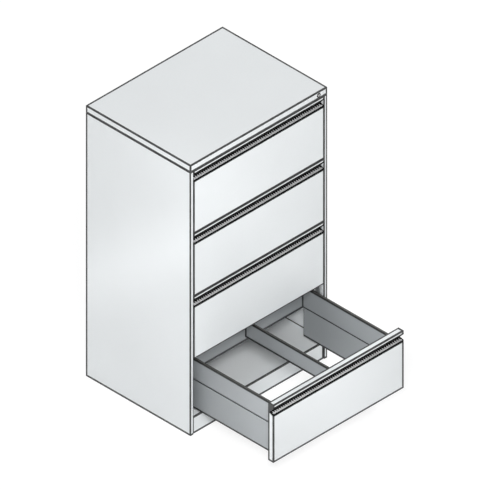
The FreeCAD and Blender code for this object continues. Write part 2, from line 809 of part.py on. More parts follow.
def make_lock_bar():
    """A flat bar behind the right-hand ends of the fronts. The cam's pin lifts it by a slot in its head, and
    its teeth rise in front of the hooks on the drawers."""
    bar = body("lock_bar")
    bottom = lip_top(BOTTOM_DRAWER) + " - tooth_drop - tooth_height - bar_tail"
    head_top = "pin_z + slot_half + head_edge"
    block(bar, "strip", ("bar_left", "bar_front", bottom),
          ("bar_width", "bar_sheet", head_top + " - (" + bottom + ")"))
    block(bar, "head", ("lock_x + head_left", "bar_front", "pin_z - slot_half - head_edge"),
          ("bar_from_axis + bar_width - head_left", "bar_sheet", "2 * (slot_half + head_edge)"))
    block(bar, "slot", ("pin_x - slot_half", "bar_front - bar_sheet", "pin_z - slot_half"),
          ("crank_radius + lock_x - pin_x + 2 * slot_half", "3 * bar_sheet", "2 * slot_half"), cut=True)
    for number in DRAWERS:
        block(bar, f"tooth_{number}", ("tooth_left", "bar_front",
                                       lip_top(number) + " - tooth_drop - tooth_height"),
              ("tooth_reach", "bar_sheet", "tooth_height"))
    node(bar, "lock_bar")


def make_bar_guides():
    """Blocks on the front upright, each with a channel for the bar."""
    guides = []
    for number in DRAWERS[:-1]:
        guide = body(f"bar_guide_{number}")
        front = "bar_front - guide_play - guide_face"
        bottom = lip_top(number) + " - guide_drop"
        width = "bar_width + 2 * (guide_play + guide_wall)"
        block(guide, "block", ("bar_left - guide_play - guide_wall", front, bottom),
              (width, "upright_front - (" + front + ")", "guide_height"))
        block(guide, "channel", ("bar_left - guide_play", "bar_front - guide_play", bottom),
              ("bar_width + 2 * guide_play", "bar_sheet + 2 * guide_play", "guide_height"), cut=True)
        guides.append(guide)
    node(group("bar_guides", guides), "bar_guides")


make_side_panels()
make_rear_panel()
make_top_cover()
make_base()
make_floor_panel()
make_uprights()
make_outer_rails()
for drawer in DRAWERS:
    make_drawer(drawer)
make_lock()
make_lock_bar()
make_bar_guides()
doc.recompute()

# Checks before anything is written
for item in doc.Objects:
    if {"Invalid", "Error"} & set(item.State):
        raise RuntimeError(f"{item.Label} failed: {item.State}")
for piece in nodes:
    if piece.Shape.isNull() or not piece.Shape.isValid() or not piece.Shape.Solids:
        raise RuntimeError(f"{piece.Label} has no valid solid")

os.makedirs("parts", exist_ok=True)
for piece in nodes:
    piece.Shape.exportStep(f"parts/{piece.Label}.step")
print(len(nodes), "sub-parts,", sum(len(piece.Shape.Solids) for piece in nodes), "solids")
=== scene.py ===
import math

import bmesh
import bpy
from mathutils import Matrix, Quaternion, Vector


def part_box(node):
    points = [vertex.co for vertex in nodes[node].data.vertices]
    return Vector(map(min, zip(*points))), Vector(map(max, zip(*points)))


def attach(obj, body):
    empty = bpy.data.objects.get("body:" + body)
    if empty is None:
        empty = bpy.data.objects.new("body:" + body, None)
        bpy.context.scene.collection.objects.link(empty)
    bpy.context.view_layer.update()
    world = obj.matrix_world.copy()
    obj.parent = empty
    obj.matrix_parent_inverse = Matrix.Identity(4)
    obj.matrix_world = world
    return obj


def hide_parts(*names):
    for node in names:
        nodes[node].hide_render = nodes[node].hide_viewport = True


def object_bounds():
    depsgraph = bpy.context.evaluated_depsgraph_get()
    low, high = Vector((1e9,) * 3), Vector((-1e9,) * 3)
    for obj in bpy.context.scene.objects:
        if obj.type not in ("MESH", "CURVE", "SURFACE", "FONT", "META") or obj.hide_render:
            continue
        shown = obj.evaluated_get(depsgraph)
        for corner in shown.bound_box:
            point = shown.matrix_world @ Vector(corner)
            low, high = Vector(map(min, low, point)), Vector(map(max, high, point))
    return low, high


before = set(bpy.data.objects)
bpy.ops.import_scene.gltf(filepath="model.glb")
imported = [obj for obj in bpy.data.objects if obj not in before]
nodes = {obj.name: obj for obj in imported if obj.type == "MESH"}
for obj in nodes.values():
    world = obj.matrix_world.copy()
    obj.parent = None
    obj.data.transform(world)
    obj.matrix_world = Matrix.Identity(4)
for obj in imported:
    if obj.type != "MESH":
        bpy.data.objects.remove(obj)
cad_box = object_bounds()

DRAWERS = (1, 2, 3, 4)

# The closed cabinet's front and half of its width, from the frame
FRONT_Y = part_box("left_side_panel")[0].y
HALF_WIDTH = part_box("right_side_panel")[1].x


def placed(name, data):
    """A new object in the scene."""
    made = bpy.data.objects.new(name, data)
    bpy.context.scene.collection.objects.link(made)
    return made


# The picture is an isometric drawing, in which every axis shows at one scale
PICTURE_PIXELS = 490
PIXEL_ALONG_AXIS = 0.005
CORNER_PIXEL = (190.5, 436.2)
AZIMUTH = math.radians(-45)
ELEVATION = math.atan(math.sqrt(0.5))
CAMERA_DISTANCE = 5.0
CAMERA_REACH = 50.0


def make_camera():
    """An orthographic camera that puts the cabinet's front left foot on its pixel in the picture."""
    data = bpy.data.cameras.new("camera")
    data.type = "ORTHO"
    pixel = PIXEL_ALONG_AXIS * math.cos(ELEVATION)
    data.ortho_scale = PICTURE_PIXELS * pixel
    data.clip_end = CAMERA_REACH
    camera = placed("camera", data)
    back = Vector((
        math.sin(AZIMUTH) * math.cos(ELEVATION),
        -math.cos(AZIMUTH) * math.cos(ELEVATION),
        math.sin(ELEVATION),
    ))
    turn = (-back).to_track_quat("-Z", "Y")
    to_centre = Vector((
        (PICTURE_PIXELS / 2 - CORNER_PIXEL[0]) * pixel,
        (CORNER_PIXEL[1] - PICTURE_PIXELS / 2) * pixel,
        CAMERA_DISTANCE,
    ))
    corner = Vector((-HALF_WIDTH, FRONT_Y, 0))
    camera.rotation_mode = "QUATERNION"
    camera.rotation_quaternion = turn
    camera.location = corner + turn @ to_centre
    bpy.context.scene.camera = camera


make_camera()


# Helpers for materials

def new_material(name):
    material = bpy.data.materials.new(name)
    material.use_nodes = True
    return material, material.node_tree, material.node_tree.nodes["Principled BSDF"]


def add(tree, kind, **settings):
    """A shader node; settings name its properties, or its inputs with spaces as underscores."""
    made = tree.nodes.new("ShaderNode" + kind)
    for name, value in settings.items():
        if hasattr(made, name):
            setattr(made, name, value)
        else:
            made.inputs[name.replace("_", " ")].default_value = value
    return made


def feed(tree, value, socket):
    """Links an output to a socket, or sets the socket to a plain number or colour."""
    if isinstance(value, bpy.types.NodeSocket):
        tree.links.new(value, socket)
    elif isinstance(value, (int, float)):
        socket.default_value = value
    else:
        socket.default_value = (*value, 1)


def calc(tree, operation, first, second=0.0):
    """One step of arithmetic on outputs or plain numbers."""
    step = add(tree, "Math", operation=operation)
    feed(tree, first, step.inputs[0])
    feed(tree, second, step.inputs[1])
    return step.outputs[0]


# The Mix node's own numbers for its factor and two colours, and for the colour that it gives
MIX_FACTOR = 0
MIX_FIRST = 6
MIX_SECOND = 7
MIX_RESULT = 2


def mixed(tree, factor, first, second):
    """A mix of two colours; each is an output or a plain colour."""
    mix = add(tree, "Mix", data_type="RGBA")
    feed(tree, factor, mix.inputs[MIX_FACTOR])
    feed(tree, first, mix.inputs[MIX_FIRST])
    feed(tree, second, mix.inputs[MIX_SECOND])
    return mix.outputs[MIX_RESULT]


def parts_of(tree, kind):
    """The X, Y and Z of one kind of coordinate, such as Generated, which runs from 0 to 1 over a box."""
    place = add(tree, "TexCoord")
    parts = add(tree, "SeparateXYZ")
    tree.links.new(place.outputs[kind], parts.inputs[0])
    return parts.outputs


def object_noise(tree, scale, detail=2.0, stretch=(1, 1, 1)):
    """Noise in the object's own coordinates, which ride along when a drawer moves."""
    place = add(tree, "TexCoord")
    mapping = add(tree, "Mapping")
    mapping.inputs["Scale"].default_value = stretch
    noise = add(tree, "TexNoise", Scale=scale, Detail=detail)
    tree.links.new(place.outputs["Object"], mapping.inputs["Vector"])
    tree.links.new(mapping.outputs["Vector"], noise.inputs["Vector"])
    return noise.outputs["Fac"]


def spread(tree, source, low, high, from_low=0.3, from_high=0.7):
    """Maps a value to a range. Noise lies mostly between 0.3 and 0.7."""
    ranged = add(tree, "MapRange")
    tree.links.new(source, ranged.inputs["Value"])
    ends = {"From Min": from_low, "From Max": from_high, "To Min": low, "To Max": high}
    for name, value in ends.items():
        ranged.inputs[name].default_value = value
    return ranged.outputs["Result"]


def bumped(tree, height, distance, strength, normal=None):
    """A normal that follows small heights, on top of another normal if one is given."""
    bump = add(tree, "Bump", Strength=strength, Distance=distance)
    tree.links.new(height, bump.inputs["Height"])
    if normal:
        tree.links.new(normal, bump.inputs["Normal"])
    return bump.outputs["Normal"]


def likeness(tree, first, second):
    """The cosine between two normals."""
    product = add(tree, "VectorMath", operation="DOT_PRODUCT")
    tree.links.new(first, product.inputs[0])
    tree.links.new(second, product.inputs[1])
    return product.outputs["Value"]


# Edges, which the drawing shows as black lines and the finishes as dark rims

# The width of painted dark outlines, and the share of a thin box that one may take: plain, on the right side
# panel and on the lip of the open drawer
OUTLINE = 0.0062
HEAVY_OUTLINE = 0.0096
OUTLINE_SHARE = 0.22
HEAVY_SHARE = 0.42
LIP_SHARE = 0.27
OUTLINE_SOFTNESS = 0.1

# How far from an edge the painted dark outline and painted shade reach, on plain sheets and where folds and
# grooves lie close together
SHEET_EDGE = 0.001
GROOVE_EDGE = 0.0035
# The colour of the painted dark outlines and of the painted shade in folds and grooves
DARK_EDGE = (0.015, 0.015, 0.015)

# Cosines between two normals at which a darkened edge and a darkened bend are full and gone
EDGE_COSINES = (0.991, 0.9985)
BEND_COSINES = (0.9985, 0.9999)
BEVEL_SAMPLES = 8

# A face stands beside an end of its box when its normal has less than this along that axis
FACING_COSINE = 0.8


def sizes_of(node):
    low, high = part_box(node)
    return high - low


def edge_mask(tree, radius):
    """How near a point is to an edge or on a bend, and the normal rounded over that edge."""
    bevel = add(tree, "Bevel", samples=BEVEL_SAMPLES, Radius=radius)
    geometry = add(tree, "NewGeometry")
    rounded_normal = bevel.outputs["Normal"]
    smooth_normal = geometry.outputs["Normal"]
    flat_normal = geometry.outputs["True Normal"]
    near_edge = spread(tree, likeness(tree, rounded_normal, smooth_normal), 1, 0, *EDGE_COSINES)
    on_bend = spread(tree, likeness(tree, flat_normal, smooth_normal), 1, 0, *BEND_COSINES)
    return calc(tree, "MAXIMUM", near_edge, on_bend), rounded_normal


def box_outline(tree, node, rear_width, rear_share):
    """Where a sheet's faces meet at the edges of the box round its node. The width at the right, rear and
    lower edges is given, and the share of a thin box that it may take."""
    spots = parts_of(tree, "Generated")
    ways = parts_of(tree, "Normal")
    outline = 0.0
    for axis, size, rear_end in zip("XYZ", sizes_of(node), (1, 1, -1)):
        from_middle = calc(tree, "SUBTRACT", spots[axis], 0.5)
        beside_end = calc(tree, "LESS_THAN", calc(tree, "ABSOLUTE", ways[axis]), FACING_COSINE)
        for way, width, share in ((rear_end, rear_width, rear_share), (-rear_end, OUTLINE, OUTLINE_SHARE)):
            reach = min(width, share * size)
            starts = 0.5 - (1 + OUTLINE_SOFTNESS) * reach / size
            is_full = 0.5 - (1 - OUTLINE_SOFTNESS) * reach / size
            near_end = spread(tree, calc(tree, "MULTIPLY", from_middle, way), 0, 1, starts, is_full)
            outline = calc(tree, "MAXIMUM", calc(tree, "MULTIPLY", near_end, beside_end), outline)
    return outline


# Finishes

# Powder coat: how dark its clouds and grains are beside its colour, how much the grains cover, how high
# the orange peel stands, and the share of a piece's depth over which its painted light at the front fades
CLOUD_TONE = 0.965
GRAIN_TONE = 0.55
GRAIN_COVER = 0.045
PEEL_HEIGHT = 0.00012
FADE_END = 0.75


def powder_coat(name, colour, node, groove=SHEET_EDGE, rear_outline=OUTLINE, rear_share=OUTLINE_SHARE,
                painted_light_colour=None):
    """Powder coat: a fine orange peel, faint cloudy tone, and painted dark outlines and painted shade along
    edges, bends and grooves. A front colour of painted light fades into the colour towards the rear."""
    material, tree, shader = new_material(name)
    cloud = spread(tree, object_noise(tree, scale=2.2, detail=3), low=0, high=1)
    coat = mixed(tree, cloud, [CLOUD_TONE * part for part in colour], colour)
    if painted_light_colour:
        # Painted light at the front end, which fades into painted shade towards the rear
        along = parts_of(tree, "Generated")["Y"]
        toward_front = spread(tree, along, low=1, high=0, from_low=0, from_high=FADE_END)
        coat = mixed(tree, toward_front, coat, painted_light_colour)
    grain = spread(tree, object_noise(tree, scale=240), low=0, high=GRAIN_COVER)
    coat = mixed(tree, grain, coat, [GRAIN_TONE * part for part in colour])
    # Painted dark outlines along edges and bends, and painted shade in folds and grooves, varied a little by
    # noise
    edge, rounded_normal = edge_mask(tree, groove)
    edge = calc(tree, "MAXIMUM", edge, box_outline(tree, node, rear_outline, rear_share))
    outline_unevenness = spread(tree, object_noise(tree, scale=30, detail=3), low=0.95, high=1)
    coat = mixed(tree, calc(tree, "MULTIPLY", edge, outline_unevenness), coat, DARK_EDGE)
    tree.links.new(coat, shader.inputs["Base Color"])
    roughness = spread(tree, object_noise(tree, scale=6), low=0.38, high=0.47)
    tree.links.new(roughness, shader.inputs["Roughness"])
    peel = object_noise(tree, scale=620)
    peeled = bumped(tree, peel, PEEL_HEIGHT, strength=0.35, normal=rounded_normal)
    tree.links.new(peeled, shader.inputs["Normal"])
    shader.inputs["Specular IOR Level"].default_value = 0.4
    return material


# Zinc: how its streaks and scratches stretch along the rails, its tones, and how deep the scratches are
ROLLED = (1, 0.03, 1)
SCRATCHED = (1, 0.02, 1)
ZINC_DARK = (0.52, 0.53, 0.55)
ZINC_LIGHT = (0.68, 0.69, 0.7)
ZINC_STAIN = (0.6, 0.58, 0.5)
SCRATCH_DEPTH = 0.00008


def zinc_plate(name):
    """Bright zinc on rolled steel: streaks along the rolling direction and cloudy spots."""
    material, tree, shader = new_material(name)
    streaks = spread(tree, object_noise(tree, scale=90, detail=3, stretch=ROLLED), low=0, high=1)
    metal = mixed(tree, streaks, ZINC_DARK, ZINC_LIGHT)
    cloud = spread(tree, object_noise(tree, scale=14, detail=3), low=0, high=0.3)
    metal = mixed(tree, cloud, metal, ZINC_STAIN)
    tree.links.new(metal, shader.inputs["Base Color"])
    shader.inputs["Metallic"].default_value = 1.0
    roughness = spread(tree, object_noise(tree, scale=60, detail=3), low=0.26, high=0.42)
    tree.links.new(roughness, shader.inputs["Roughness"])
    scratches = object_noise(tree, scale=500, stretch=SCRATCHED)
    tree.links.new(bumped(tree, scratches, SCRATCH_DEPTH, strength=0.4), shader.inputs["Normal"])
    return material


NICKEL_CLOUD_TONE = 0.85


def nickel_plate(name, brightness, rim):
    """Nickel plate on the lock: fine cloudy tone, painted shade in the key slot and painted dark outlines
    round the rims.
    """
    material, tree, shader = new_material(name)
    cloud = spread(tree, object_noise(tree, scale=160), low=0, high=1)
    metal = mixed(tree, cloud, [NICKEL_CLOUD_TONE * brightness] * 3, [brightness] * 3)
    # Painted shade in the key slot and painted dark outlines round the rims
    painted_outline_and_shade, rounded_normal = edge_mask(tree, rim)
    tree.links.new(mixed(tree, painted_outline_and_shade, metal, DARK_EDGE), shader.inputs["Base Color"])
    shader.inputs["Metallic"].default_value = 1.0
    roughness = spread(tree, object_noise(tree, scale=400), low=0.15, high=0.25)
    tree.links.new(roughness, shader.inputs["Roughness"])
    tree.links.new(rounded_normal, shader.inputs["Normal"])
    return material


# Moulded plastic: how light its specks and how dark its clouds and its painted dark outlines at the rims are
# beside its colour
SPECK_GAIN = 2.2
SPECK_LIFT = 0.02
PLASTIC_CLOUD_TONE = 0.8
PLASTIC_RIM_TONE = 0.05


def moulded_plastic(name, colour, roughness=0.5, grain=420, depth=0.0001, specks=0.25, rim=0.0005,
                    gloss=0.5):
    """Moulded plastic with a spark-eroded grain, lighter specks and a painted dark outline at its rims."""
    material, tree, shader = new_material(name)
    speck_noise = object_noise(tree, scale=grain, detail=3)
    speck = spread(tree, speck_noise, low=0, high=specks, from_low=0.5, from_high=0.75)
    cloud = spread(tree, object_noise(tree, scale=18), low=0, high=0.3)
    body = mixed(tree, cloud, colour, [PLASTIC_CLOUD_TONE * part for part in colour])
    body = mixed(tree, speck, body, [min(1, SPECK_GAIN * part + SPECK_LIFT) for part in colour])
    # Painted dark outline round the rims, which on the file strips draws their dark edges
    edge, rounded_normal = edge_mask(tree, rim)
    body = mixed(tree, edge, body, [PLASTIC_RIM_TONE * part for part in colour])
    tree.links.new(body, shader.inputs["Base Color"])
    wear = spread(tree, object_noise(tree, scale=40), low=roughness - 0.05, high=roughness + 0.07)
    tree.links.new(wear, shader.inputs["Roughness"])
    shader.inputs["Specular IOR Level"].default_value = gloss
    eroded = object_noise(tree, scale=2 * grain)
    grained = bumped(tree, eroded, depth, strength=0.5, normal=rounded_normal)
    tree.links.new(grained, shader.inputs["Normal"])
    return material


CARCASS_GREY = (0.80, 0.825, 0.835)
FRONT_GREY = (0.81, 0.835, 0.845)
LINER_GREY = (0.70, 0.73, 0.74)
DRAWER_GREY = (0.285, 0.302, 0.313)
# The paler grey at the front end of the drawer walls is painted light
DRAWER_PAINTED_LIGHT_GREY = (0.40, 0.422, 0.437)

# Paint on the cabinet and its fronts: the colour and a node that has the size. Where a look differs from
# plain sheet, how far its painted dark edges and painted shade in grooves reach, and the width and share of
# its right, rear and lower outlines
PAINTS = {
    "side": dict(colour=CARCASS_GREY, node="left_side_panel", rear_outline=HEAVY_OUTLINE),
    "right_side": dict(
        colour=CARCASS_GREY, node="right_side_panel", rear_outline=HEAVY_OUTLINE, rear_share=HEAVY_SHARE,
    ),
    "back": dict(colour=CARCASS_GREY, node="rear_panel"),
    "cover": dict(colour=CARCASS_GREY, node="top_cover", rear_outline=HEAVY_OUTLINE),
    "floor": dict(colour=CARCASS_GREY, node="floor_panel"),
    "base": dict(colour=CARCASS_GREY, node="base_frame", rear_outline=HEAVY_OUTLINE),
    "front": dict(colour=FRONT_GREY, node="drawer_1_front", groove=GROOVE_EDGE),
    "low_front": dict(
        colour=FRONT_GREY, node="drawer_4_front", groove=GROOVE_EDGE,
        rear_outline=HEAVY_OUTLINE, rear_share=LIP_SHARE,
    ),
    "liner": dict(colour=LINER_GREY, node="drawer_1_front_liner"),
}

# Paint in the drawers, with grooves and heavy outlines throughout; the long walls pale towards the front
# with painted light and stay darker towards the rear as painted shade
DRAWER_PAINTS = {
    "drawer_side": dict(node="drawer_1_left_side", painted_light_colour=DRAWER_PAINTED_LIGHT_GREY),
    "rear_wall": dict(node="drawer_1_rear_wall"),
    "divider": dict(node="drawer_1_divider", painted_light_colour=DRAWER_PAINTED_LIGHT_GREY),
}


def make_materials():
    made = {look: powder_coat(f"{look}_powder_coat", **paint) for look, paint in PAINTS.items()}
    for look, paint in DRAWER_PAINTS.items():
        made[look] = powder_coat(
            f"{look}_powder_coat", DRAWER_GREY, groove=GROOVE_EDGE, rear_outline=HEAVY_OUTLINE, **paint)
    made.update({
        "zinc": zinc_plate("zinc_plate"),
        "ring": nickel_plate("black_nickel_plate", brightness=0.06, rim=0.001),
        "core": nickel_plate("nickel_plate", brightness=0.62, rim=0.0009),
        "cap": moulded_plastic("end_cap_plastic", (0.045, 0.046, 0.046)),
        "file_strip": moulded_plastic(
            "file_strip_plastic", (0.085, 0.086, 0.082), roughness=0.45, rim=0.0035, gloss=0.2),
        "guide": moulded_plastic("guide_nylon", (0.72, 0.72, 0.69), roughness=0.4, specks=0.05),
        "glide": moulded_plastic("glide_plastic", (0.02, 0.02, 0.02)),
        # Black rubber for the teeth, which the spikes and the skin under the lip also wear as painted shade
        "tooth": moulded_plastic("grip_rubber_and_painted_shade", (0.006, 0.006, 0.006), roughness=0.7, gloss=0.1),
        "field": moulded_plastic(
            "grip_field_plastic", (0.68, 0.68, 0.69), grain=300, depth=0.0003, specks=0.4, gloss=0.3),
    })
    return made


finish = make_materials()

FINISHES = {
    "side": ["left_side_panel"],
    "right_side": ["right_side_panel"],
    "back": ["rear_panel"],
    "cover": ["top_cover"],
    "floor": ["floor_panel"],
    "base": ["base_frame"],
    "zinc": [
        "slide_uprights", "left_outer_rails", "right_outer_rails",
        "lock_bar", "lock_nut", "lock_cam",
    ],
    "ring": ["lock_housing"],
    "core": ["lock_core"],
    "guide": ["bar_guides"],
    "glide": ["levelling_glides"],
}
DRAWER_FINISHES = {
    "front": ["front"],
    "liner": ["front_liner"],
    "cap": ["lip_end_caps"],
    "drawer_side": ["left_side", "right_side"],
    "rear_wall": ["rear_wall"],
    "divider": ["divider"],
    "file_strip": ["file_strips"],
    "field": ["grip_strip"],
    "zinc": ["inner_rails", "middle_rails"],
}


def paint_nodes():
    """Gives every node of the frame its finish. The lowest front has a heavier outline than the others."""
    for look, names in FINISHES.items():
        for name in names:
            nodes[name].material_slots[0].material = finish[look]
    for number in DRAWERS:
        for look, names in DRAWER_FINISHES.items():
            for name in names:
                nodes[f"drawer_{number}_{name}"].material_slots[0].material = finish[look]
    nodes["drawer_4_front"].material_slots[0].material = finish["low_front"]


paint_nodes()


# Pieces in mesh code

def new_piece(name, mesh, look, body):
    """A finished piece that rides on a body of the frame."""
    piece = placed(name, mesh)
    mesh.materials.append(finish[look])
    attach(piece, body)
    return piece


RIB_FULLNESS = 1.7
RIB_ROUNDNESS = 0.6


def rounded_rib(place):
    """How far a rounded rib swells, by the place along it from 0 to 1."""
    wave = 0.5 - 0.5 * math.cos(2 * math.pi * place)
    return min(1.0, RIB_FULLNESS * wave) ** RIB_ROUNDNESS


def pointed_rib(place):
    """How far a pointed rib swells, by the place along it from 0 to 1."""
    return 1 - abs(2 * place - 1)


def ribbed_bar(name, section, low_x, high_x, pitch, steps_per_rib, rib):
    """A bar along X whose section swells and shrinks once per rib; section(swell) gives its corners."""
    ribs = round((high_x - low_x) / pitch)
    steps = ribs * steps_per_rib
    mesh = bpy.data.meshes.new(name)
    shape = bmesh.new()
    rings = []
    for i in range(steps + 1):
        x = low_x + (high_x - low_x) * i / steps
        swell = rib(i % steps_per_rib / steps_per_rib)
        rings.append([shape.verts.new((x, y, z)) for y, z in section(swell)])
    corners = len(rings[0])
    for first, second in zip(rings, rings[1:]):
        for i in range(corners):
            j = (i + 1) % corners
            shape.faces.new((first[i], first[j], second[j], second[i]))
    shape.faces.new(reversed(rings[0]))
    shape.faces.new(rings[-1])
    bmesh.ops.recalc_face_normals(shape, faces=shape.faces)
    shape.to_mesh(mesh)
    shape.free()
    return mesh


# The lip above the grip: the height of its face, and how steeply its underside falls towards the rear
LIP_FACE = 0.018
LIP_SLOPE = 1.06

# The light field: its ribs, and how thick the strip is at its rear
FIELD_PITCH = 0.004
FIELD_STEPS = 4
RIB_HEIGHT = 0.0006
STRIP_HEEL = 0.0035

# The black nose: its size, its teeth, and the rounding of its upper edge and of its toe
NOSE_HEIGHT = 0.008
NOSE_DEPTH = 0.0022
NOSE_ROUND = 0.0014
TOE_DEPTH = 0.0008
TOE_HEIGHT = 0.0016
TOE_LIFT = 1.5
TOOTH_PITCH = 0.012
TOOTH_STEPS = 8
TOOTH_DEPTH = 0.0012

# The black spikes, which reach forward over the field from their root at the rear, one to a tooth; they are
# teeth, and also painted shade under the lip
SPIKE_STEPS = 2
SPIKE_ROOT = 0.003
SPIKE_REACH = 0.0105
SPIKE_HEIGHT = 0.0008

# The shade skin: a thin black skin on the lip's lower corner and underside, which is painted shade under the
# lip
SHADE_SKIN_INSET = 0.0025
SHADE_SKIN_BEHIND = 0.002
SHADE_SKIN_SHEET = 0.0006
SHADE_SKIN_PROUD = 0.0003
SHADE_SKIN_RISE = 0.0065
SHADE_SKIN_GAP = 0.0002

# The blocks at the ends of the grip, which stand a little over the field
END_BLOCK = 0.004
END_RISE = 0.0012
END_PLAY = 0.0005


class Grip:
    """The grip of one drawer, on the sloping shelf of the recess in its front. Each piece has its section
    as a list of corners (y, z), by how far the rib swells there. The shade skin and the end blocks are
    plain."""

    def __init__(self, number):
        self.low, self.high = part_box(f"drawer_{number}_grip_strip")
        self.lip_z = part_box(f"drawer_{number}_front")[1].z - LIP_FACE
        self.nose_top = self.low.z + NOSE_HEIGHT
        self.nose_back = self.low.y + NOSE_DEPTH
        self.root = self.high.y - SPIKE_ROOT

    def shelf(self, y):
        """The height of the strip's underside."""
        slope = (self.high.z - STRIP_HEEL - self.low.z) / (self.high.y - self.low.y)
        return self.low.z + slope * (y - self.low.y)

    def top(self, y):
        """The height of the strip's top."""
        slope = (self.high.z - self.nose_top) / (self.high.y - self.low.y)
        return self.nose_top + slope * (y - self.low.y)

    def under_lip(self, y):
        """The height just under the lip's sloping underside."""
        return self.lip_z - LIP_SLOPE * (y - self.low.y) - SHADE_SKIN_GAP

    def field(self, swell):
        sink = RIB_HEIGHT * (1 - swell)
        rear = self.high.y
        middle = (self.nose_back + self.root) / 2
        return [
            (self.nose_back, self.shelf(self.nose_back)),
            (rear, self.shelf(rear)),
            (rear, self.top(rear) - RIB_HEIGHT),
            (self.root, self.top(self.root) - sink),
            (middle, self.top(middle) - sink),
            (self.nose_back, self.top(self.nose_back) - sink),
        ]

    def nose(self, swell):
        rise = TOOTH_DEPTH * swell
        inset = TOOTH_DEPTH * (1 - swell)
        face = self.low.y + inset
        return [
            (face + TOE_DEPTH, self.low.z + TOE_LIFT * inset),
            (self.nose_back, self.shelf(self.nose_back)),
            (self.nose_back, self.top(self.nose_back) + rise),
            (face + NOSE_ROUND, self.nose_top + rise),
            (face, self.nose_top - NOSE_ROUND),
            (face, self.low.z + TOE_HEIGHT + inset),
        ]

    # Black spikes that are teeth and also painted shade under the lip
    def spikes(self, swell):
        tip = self.root - SPIKE_REACH * swell
        rear = self.high.y
        return [
            (tip, self.top(tip) - 2 * RIB_HEIGHT),
            (rear, self.top(rear) - 2 * RIB_HEIGHT),
            (rear, self.top(rear)),
            (self.root + RIB_HEIGHT, self.top(self.root) + SPIKE_HEIGHT),
            (tip, self.top(tip) + SPIKE_HEIGHT / 2),
        ]

    # A black skin that is painted shade under the lip
    def shade_skin(self, swell):
        face = self.low.y
        first = face + SHADE_SKIN_INSET
        last = self.high.y + SHADE_SKIN_BEHIND
        return [
            (face - SHADE_SKIN_PROUD, self.lip_z + SHADE_SKIN_RISE),
            (face + SHADE_SKIN_PROUD, self.lip_z + SHADE_SKIN_RISE),
            (face + SHADE_SKIN_PROUD, self.lip_z + SHADE_SKIN_SHEET),
            (first, self.under_lip(first)),
            (last, self.under_lip(last)),
            (last, self.under_lip(last) - SHADE_SKIN_SHEET),
            (first, self.under_lip(first) - SHADE_SKIN_SHEET),
            (face - SHADE_SKIN_PROUD, self.lip_z),
        ]

    def end_block(self, swell):
        face = self.low.y + END_PLAY
        rear = self.high.y
        return [
            (face, self.low.z + END_RISE),
            (self.nose_back, self.shelf(self.nose_back)),
            (rear, self.shelf(rear)),
            (rear, self.top(rear) + END_RISE),
            (face, self.nose_top + END_RISE),
        ]


def make_grip(number):
    """The pieces of one drawer's grip: a light ribbed field, a black toothed nose, black spikes from the
    rear that are teeth and also painted shade under the lip, a black skin under the lip that is painted
    shade, and a black block at each end."""
    grip = Grip(number)
    body = f"drawer_{number}"
    left = grip.low.x
    right = grip.high.x
    inside = (left + END_PLAY, right - END_PLAY)
    left_end = (left, left + END_BLOCK)
    right_end = (right - END_BLOCK, right)
    # Each piece: where it runs along X, its pitch and steps per rib, and its look; a plain one is one step
    plan = (
        ("grip_field", grip.field, inside, FIELD_PITCH, FIELD_STEPS, rounded_rib, "field"),
        ("grip_nose_teeth", grip.nose, inside, TOOTH_PITCH, TOOTH_STEPS, rounded_rib, "tooth"),
        ("grip_spikes", grip.spikes, inside, TOOTH_PITCH, SPIKE_STEPS, pointed_rib, "tooth"),
        ("lip_shade_skin", grip.shade_skin, (left, right), right - left, 1, pointed_rib, "tooth"),
        ("grip_left_end", grip.end_block, left_end, END_BLOCK, 1, pointed_rib, "tooth"),
        ("grip_right_end", grip.end_block, right_end, END_BLOCK, 1, pointed_rib, "tooth"),
    )
    for label, section, along, pitch, steps_per_rib, rib, look in plan:
        mesh = ribbed_bar(f"{label}_{number}", section, *along, pitch, steps_per_rib, rib)
        piece = new_piece(f"{label}_{number}", mesh, look, body)
        if label == "grip_field":
            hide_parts(f"drawer_{number}_grip_strip")


for drawer in DRAWERS:
    make_grip(drawer)


# Floor and background

FLOOR_SIZE = 60.0
FLOOR_GREY = (0.88, 0.88, 0.88)
FLOOR_SHADOW = 0.3
FLOOR_GLOW = 1.15


def seen_directly(tree):
    """1 for what the camera sees itself, in a reflection or through glass."""
    path = add(tree, "LightPath")
    either = calc(tree, "MAXIMUM", path.outputs["Is Glossy Ray"], path.outputs["Is Transmission Ray"])
    return calc(tree, "MAXIMUM", either, path.outputs["Is Camera Ray"])


def make_floor():
    """A pale floor that looks white to the camera and still keeps part of the cabinet's shadow."""
    mesh = bpy.data.meshes.new("floor")
    half = FLOOR_SIZE / 2
    corners = [(-half, -half, 0), (half, -half, 0), (half, half, 0), (-half, half, 0)]
    mesh.from_pydata(corners, [], [(0, 1, 2, 3)])
    floor = placed("floor", mesh)
    material, tree, shader = new_material("pale_floor")
    shader.inputs["Base Color"].default_value = (*FLOOR_GREY, 1)
    shader.inputs["Roughness"].default_value = 0.9
    shader.inputs["Specular IOR Level"].default_value = 0.0
    glow = add(tree, "Emission", Strength=FLOOR_GLOW)
    mix = add(tree, "MixShader")
    glow_share = calc(tree, "MULTIPLY", seen_directly(tree), 1 - FLOOR_SHADOW)
    tree.links.new(glow_share, mix.inputs[0])
    tree.links.new(shader.outputs[0], mix.inputs[1])
    tree.links.new(glow.outputs[0], mix.inputs[2])
    tree.links.new(mix.outputs[0], tree.nodes["Material Output"].inputs["Surface"])
    mesh.materials.append(material)


HORIZON_STRENGTH = 0.6
ZENITH_STRENGTH = 0.22
STUDIO_WHITE = (0.985, 0.993, 1)


